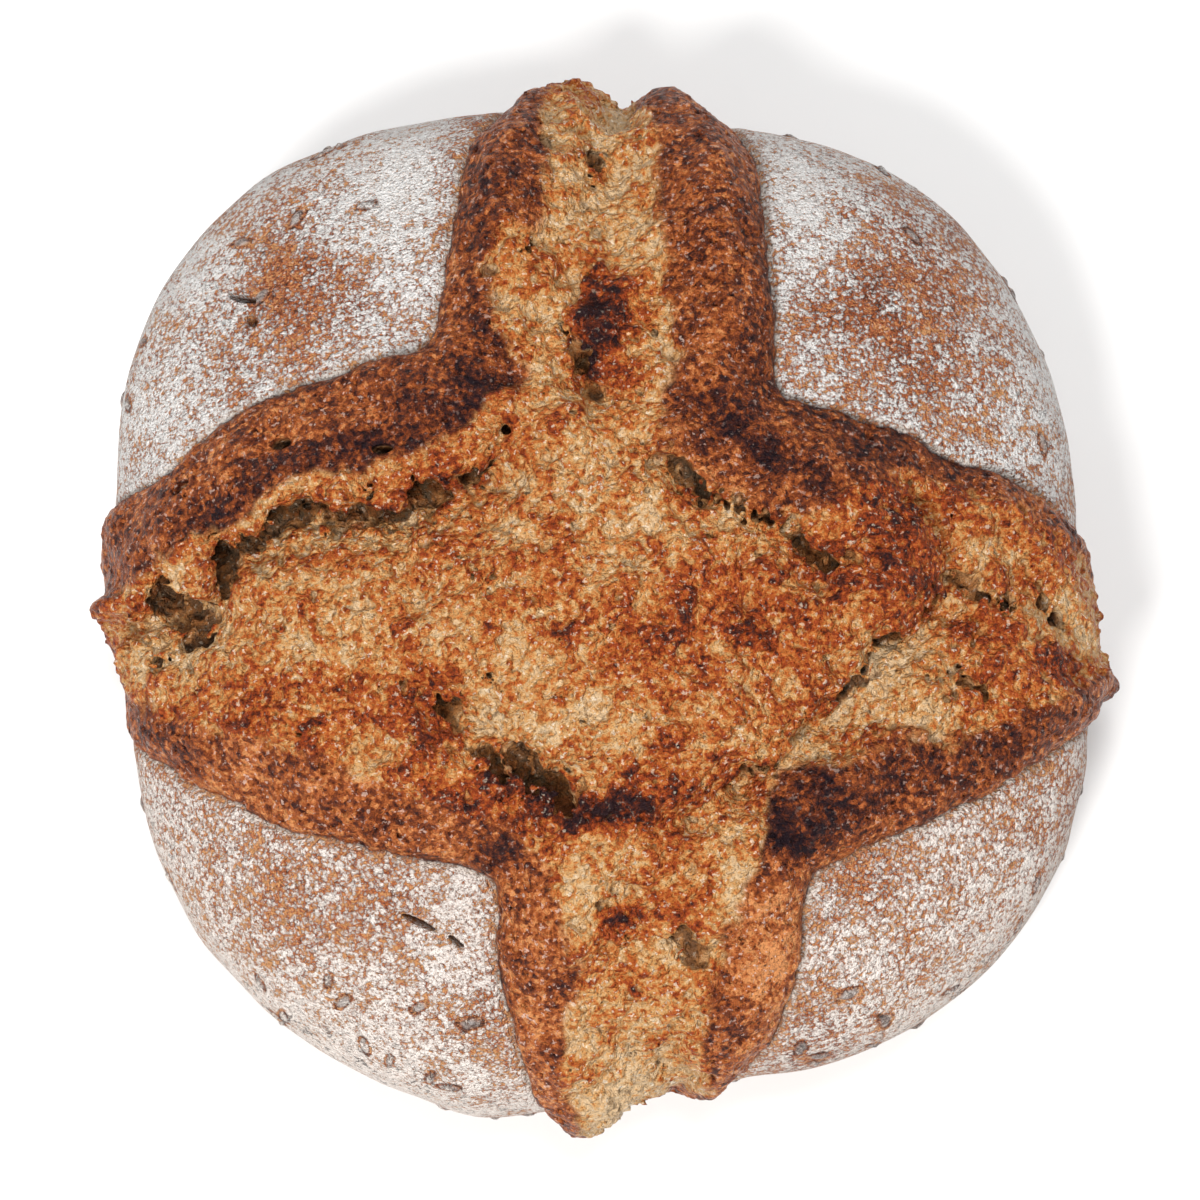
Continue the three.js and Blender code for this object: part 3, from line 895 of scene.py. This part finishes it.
class Nodes:
    """Short ways to add nodes to a material."""

    def __init__(self, name):
        self.material = bpy.data.materials.new(name)
        self.material.use_nodes = True
        self.tree = self.material.node_tree
        self.tree.nodes.clear()
        self.place = self.add("ShaderNodeTexCoord").outputs["Object"]

    def add(self, kind, inputs=(), **settings):
        node = self.tree.nodes.new(kind)
        for name, value in settings.items():
            setattr(node, name, value)
        for name, value in dict(inputs).items():
            if isinstance(value, bpy.types.NodeSocket):
                self.tree.links.new(value, node.inputs[name])
            else:
                node.inputs[name].default_value = value
        return node

    def number(self, name):
        return self.add("ShaderNodeAttribute", attribute_name=name).outputs["Fac"]

    def math(self, operation, *values):
        return self.add("ShaderNodeMath", enumerate(values), operation=operation).outputs[0]

    def total(self, *terms):
        """The sum of (socket, weight) pairs and plain numbers."""
        result = 0.0
        for term in terms:
            if isinstance(term, tuple):
                result = self.math("MULTIPLY_ADD", *term, result)
            else:
                result = self.math("ADD", result, term)
        return result

    def times(self, *values):
        result = values[0]
        for value in values[1:]:
            result = self.math("MULTIPLY", result, value)
        return result

    def step(self, value, low, high):
        """From 0 at low to 1 at high, with an even turn."""
        inputs = {"Value": value, "From Min": low, "From Max": high}
        node = self.add("ShaderNodeMapRange", inputs, interpolation_type="SMOOTHSTEP")
        return node.outputs["Result"]

    def noise(self, size, detail=2.0, rough=0.5, twist=0.0):
        """Noise around 0, mostly between -0.5 and 0.5, with features of this size in millimetres."""
        inputs = {
            "Vector": self.place,
            "Scale": 1000 / size,
            "Detail": detail,
            "Roughness": rough,
            "Distortion": twist,
        }
        fac = self.add("ShaderNodeTexNoise", inputs).outputs["Fac"]
        return self.math("MULTIPLY_ADD", fac, 2.0, -1.0)

    def cells(self, size):
        """Distance to the nearest of points about this far apart, and a random number for each."""
        node = self.add("ShaderNodeTexVoronoi", {"Vector": self.place, "Scale": 1000 / size})
        split = self.add("ShaderNodeSeparateColor", {"Color": node.outputs["Color"]})
        return node.outputs["Distance"], split.outputs["Red"]

    def ramp(self, value, stops):
        node = self.add("ShaderNodeValToRGB", {"Fac": value})
        elements = node.color_ramp.elements
        while len(elements) < len(stops):
            elements.new(0.5)
        for element, (place, colour) in zip(elements, stops):
            element.position, element.color = place, (*colour, 1)
        return node.outputs["Color"]

    def mix(self, share, a, b):
        """From colour a to colour b, each a socket or a plain colour."""
        node = self.add("ShaderNodeMix", {0: share}, data_type="RGBA")
        for place, value in ((6, a), (7, b)):
            if isinstance(value, bpy.types.NodeSocket):
                self.tree.links.new(value, node.inputs[place])
            else:
                node.inputs[place].default_value = (*value, 1)
        return node.outputs[2]

    def finish(self, inputs):
        shader = self.add("ShaderNodeBsdfPrincipled", inputs)
        output = self.add("ShaderNodeOutputMaterial")
        self.tree.links.new(shader.outputs[0], output.inputs[0])
        return self.material


# Colours are linear red, green and blue.
TORN = [
    (0.00, (0.700, 0.490, 0.285)),
    (0.24, (0.620, 0.330, 0.120)),
    (0.44, (0.520, 0.154, 0.033)),
    (0.62, (0.340, 0.057, 0.014)),
    (0.82, (0.110, 0.024, 0.012)),
    (1.00, (0.025, 0.011, 0.013)),
]
SKIN = [
    (0.00, (0.640, 0.260, 0.095)),
    (0.25, (0.410, 0.110, 0.029)),
    (0.50, (0.185, 0.042, 0.014)),
    (0.75, (0.055, 0.016, 0.012)),
    (1.00, (0.014, 0.007, 0.010)),
]
CRUST = [
    (0.00, (0.640, 0.310, 0.130)),
    (0.30, (0.470, 0.140, 0.050)),
    (0.60, (0.280, 0.072, 0.030)),
    (1.00, (0.055, 0.020, 0.013)),
]
# Crumb in the caves: its own pale colour at the top end, painted shade down to near black at the bottom
# end.
CAVE_CRUMB_AND_SHADE = [
    (0.00, (0.022, 0.010, 0.006)),
    (0.35, (0.130, 0.045, 0.015)),
    (0.65, (0.310, 0.125, 0.040)),
    (1.00, (0.600, 0.360, 0.170)),
]


CRUMB_GLINT = (0.86, 0.74, 0.58)
SKIN_GLINT = (0.70, 0.50, 0.42)
CRUST_GLINT = (0.90, 0.76, 0.66)
PINHOLE_SHADE = (0.060, 0.018, 0.010)
# Painted shade in the small gaps between grains.
GAP_SHADE = (0.045, 0.016, 0.009)
SEED_DARK, SEED_PALE = (0.16, 0.13, 0.12), (0.62, 0.58, 0.56)
FLOUR_COOL, FLOUR_WARM, FLOUR_BAKED = (0.94, 0.93, 0.915), (0.98, 0.90, 0.84), (0.78, 0.60, 0.50)
CRUST_PIT = (0.150, 0.062, 0.034)
CRUST_EDGE = (0.60, 0.44, 0.29)
CHARRED = (0.035, 0.022, 0.018)
FINE_RELIEF = 0.0012  # metres that the bump stands for


class Patterns:
    """What more than one zone of the bread reads: the baked numbers, and noises of several sizes."""

    def __init__(self, n):
        for name in ("burst", "crumb", "flour", "toast", "scorch", "edge", "deep", "peak", "swell"):
            setattr(self, name, n.number(name))
        for name in ("seed", "seam", "crack"):
            setattr(self, name, n.number(name))
        self.dust = n.noise(0.6, 2, 0.7)
        self.grain = n.noise(1.5, 3, 0.75)
        self.gap_to_grain, self.tone = n.cells(1.35)
        self.gap_to_dot, self.dot = n.cells(1.05)
        self.speck = n.noise(2.4, 3, 0.65)
        self.patch = n.noise(8, 3, 0.6)
        self.glint = n.step(n.noise(1.3, 2, 0.6), 0.20, 0.36)


def torn_crumb(n, p):
    """Colour and relief of torn crumb: its peaks have browned, and its caves are darker, paler crumb at
    their mouths under painted shade that deepens towards near black the deeper they go.
    """
    brown = n.total(
        (p.peak, 0.5), (p.swell, 0.5), (p.toast, 0.9), (p.grain, 0.5), (p.speck, 0.32), (p.patch, 0.45)
    )
    colour = n.ramp(n.total((brown, 1.0), (p.deep, -0.06), (p.tone, 0.22), 0.22), TORN)
    # Painted shade: the deeper a cave, the darker its crumb, down to near black.
    shade = n.total((p.deep, -0.75), (p.tone, 0.3), (p.patch, 0.6), (p.grain, 0.4), 0.75)
    hollow_shade = n.step(p.deep, 0.02, 0.40)
    colour = n.mix(n.times(hollow_shade, 0.9), colour, n.ramp(shade, CAVE_CRUMB_AND_SHADE))
    shining = n.times(p.glint, n.total((p.toast, -0.7), (hollow_shade, -0.4), 0.60))
    colour = n.mix(shining, colour, CRUMB_GLINT)
    twisted = n.noise(2.4, 3, 0.65, twist=1.0)
    fibres = n.total((p.grain, 0.9), (p.dust, 0.4), (p.gap_to_grain, -0.9), (twisted, 0.7))
    return colour, fibres


def baked_skin(n, p):
    """Colour and relief of baked skin, with painted shade for its pinholes and for the crease at its
    edge, darkest at the cross's inner corners.
    """
    dark = n.total((p.scorch, 0.60), (p.grain, 0.7), (p.speck, 0.45), (p.patch, 0.45))
    # Painted shade: the edge term darkens the skin along its seam with the panels, where the crease
    # lies in shade.
    dark = n.total((p.peak, -0.3), (p.tone, 0.4), (p.edge, 0.6), (dark, 1.0), 0.23)
    colour = n.ramp(dark, SKIN)
    # Painted shade: dark dots for pinholes in the skin.
    pinhole_shade_dots = n.times(n.step(p.gap_to_grain, 0.32, 0.16), n.step(p.tone, 0.70, 0.80))
    colour = n.mix(n.times(pinhole_shade_dots, 0.75), colour, PINHOLE_SHADE)
    colour = n.mix(n.times(p.glint, n.total((p.scorch, -0.7), 0.50)), colour, SKIN_GLINT)
    return colour, n.total((p.grain, 0.9), (p.dust, 0.4), (p.gap_to_grain, -0.8))


def bare_crust(n, p):
    """Colour of the crust under the flour, with its grey seeds."""
    brown = n.total((p.patch, 0.6), (p.speck, 1.1), (p.dust, 1.0), (p.scorch, 0.4), 0.46)
    seeds = n.mix(p.tone, SEED_DARK, SEED_PALE)
    colour = n.mix(n.times(p.seed, 0.9), n.ramp(brown, CRUST), seeds)
    return n.mix(n.times(p.glint, 0.55), colour, CRUST_GLINT)


def flour_cover(n, p):
    """How much the flour hides. It lies in small grains, thinner on seeds and in their seams."""
    grains = n.total((p.flour, 1.35), (p.dot, 0.50), (p.gap_to_dot, -0.8), (p.speck, 0.75))
    grains = n.total((p.dust, 0.8), (p.patch, 0.60), (p.seed, -0.35), (p.seam, -0.8), (grains, 1.0))
    return n.step(n.total((grains, 1.0), -0.03), 0.15, 0.75)


def floured_crust(n, p, cover):
    """Colour and relief of the panels: crust and flour, with pits, cracks and the seeds' seams."""
    south = n.step(n.add("ShaderNodeSeparateXYZ", {"Vector": n.place}).outputs["Y"], 0.02, -0.07)
    powder = n.mix(south, FLOUR_COOL, FLOUR_WARM)
    powder = n.mix(n.times(n.step(p.dust, 0.0, 0.40), 0.7), powder, FLOUR_BAKED)
    colour = n.mix(n.times(cover, 0.95), bare_crust(n, p), powder)
    pits = n.step(n.noise(1.1, 3, 0.8), -0.16, -0.38)
    colour = n.mix(n.times(pits, 0.65), colour, CRUST_PIT)
    colour = n.mix(n.times(p.edge, n.step(p.speck, -0.4, 0.3), 0.40), colour, CRUST_EDGE)
    thin = n.step(n.math("ABSOLUTE", n.noise(7, 3, 0.6)), 0.06, 0.015)
    cracks = n.times(thin, p.crack, n.step(p.speck, -0.1, 0.2))
    seams = n.times(p.seam, n.step(p.speck, -0.25, 0.15), 0.75)
    colour = n.mix(n.math("MAXIMUM", seams, n.times(cracks, 0.85)), colour, CHARRED)
    raised = n.total((cover, 0.35), (p.speck, 0.9), (p.dust, 0.7))
    raised = n.total((p.gap_to_dot, -0.6), (pits, -0.5), (cracks, -0.8), (raised, 1.0))
    return colour, raised


def bread_material():
    """Floured crust on the panels, baked skin along the burst's edges, and torn crumb inside it."""
    n = Nodes("baked_bread")
    p = Patterns(n)
    cover = flour_cover(n, p)
    floured, crust_relief = floured_crust(n, p, cover)
    skin, skin_relief = baked_skin(n, p)
    torn, fibres = torn_crumb(n, p)
    # Painted shade: small near-black gaps in the grain of skin and crumb, where shade falls between the
    # grains.
    gap = n.step(n.noise(1.3, 3, 0.7), -0.12, -0.36)
    baked = n.mix(n.times(gap, 0.6), n.mix(p.crumb, skin, torn), GAP_SHADE)
    height = n.mix(p.burst, crust_relief, n.mix(p.crumb, skin_relief, fibres))
    bump = n.add("ShaderNodeBump", {"Height": height, "Strength": 1.0, "Distance": FINE_RELIEF})
    dusty = n.times(cover, n.math("SUBTRACT", 1.0, p.burst))
    inputs = {
        "Base Color": n.mix(p.burst, floured, baked),
        "Roughness": n.total((dusty, 0.4), (p.burst, -0.20), (p.speck, 0.20), 0.52),
        "Normal": bump.outputs["Normal"],
        "Specular IOR Level": 0.12,
    }
    return n.finish(inputs)


def make_loaf():
    rng = np.random.default_rng(SEED)
    plan = Plan()
    maps = draw_plan(plan, rng)
    dome = Dome()
    block = Block(dome)
    block.fill(plan, maps)
    carve_caves(block, rng)
    block.roughen(rng)
    carve_holes(block, plan, maps)
    carve_pores(block, plan, maps, rng)
    seeds = press_seeds(block, plan, maps, rng)
    vertices, quads = largest_part(*surface_net(block.values, block.axes))
    numbers = bake_numbers(block, plan, maps, vertices, seeds)
    loaf = bpy.data.objects.new("loaf_bread", make_mesh(vertices, quads, numbers))
    bpy.context.scene.collection.objects.link(loaf)
    loaf.data.materials.append(bread_material())
    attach(loaf, "root")
    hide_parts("loaf")


def make_floor():
    """A plain pale table top."""
    n = Nodes("pale_floor")
    greys = [(0.0, (0.86, 0.86, 0.86)), (1.0, (0.89, 0.89, 0.89))]
    tone = n.ramp(n.total((n.noise(60, 3), 0.5), 0.5), greys)
    mesh = bpy.data.meshes.new("floor")
    side = FLOOR_HALF
    corners = [(-side, -side, 0), (side, -side, 0), (side, side, 0), (-side, side, 0)]
    mesh.from_pydata(corners, [], [(0, 1, 2, 3)])
    mesh.materials.append(n.finish({"Base Color": tone, "Roughness": 0.9, "Specular IOR Level": 0.1}))
    floor = bpy.data.objects.new("floor", mesh)
    floor.location.z = FLOOR_LEVEL
    bpy.context.scene.collection.objects.link(floor)


def aim(thing, target):
    way = Vector(target) - Vector(thing.location)
    thing.rotation_euler = way.to_track_quat("-Z", "Y").to_euler()


def make_light(name, place, size, power, colour):
    data = bpy.data.lights.new(name, "AREA")
    data.shape, data.size, data.energy, data.color = "DISK", size, power, colour
    light = bpy.data.objects.new(name, data)
    light.location = place
    aim(light, LIT_POINT)
    bpy.context.scene.collection.objects.link(light)


def make_stage():
    make_floor()
    for light in LIGHTS:
        make_light(*light)
    world = bpy.data.worlds.new("studio")
    world.use_nodes = True
    background = world.node_tree.nodes["Background"]
    background.inputs["Color"].default_value = (1, 1, 1, 1)
    background.inputs["Strength"].default_value = WORLD_LIGHT
    bpy.context.scene.world = world
    bpy.context.scene.view_settings.view_transform = "Standard"


def make_camera():
    """Looks down at the loaf from a little in front of it, 80 degrees above the horizon."""
    elevation = math.radians(CAMERA_ELEVATION)
    target = (AXIS[0] / 1000, AXIS[1] / 1000, 0.045)
    data = bpy.data.cameras.new("camera")
    data.sensor_width, data.lens = 36, 140
    data.clip_end = 20
    data.shift_x, data.shift_y = CAMERA_SHIFT
    camera = bpy.data.objects.new("camera", data)
    way = Vector((0, -math.cos(elevation), math.sin(elevation)))
    camera.location = Vector(target) + CAMERA_DISTANCE * way
    aim(camera, target)
    bpy.context.scene.collection.objects.link(camera)
    bpy.context.scene.camera = camera


make_loaf()
make_stage()
make_camera()
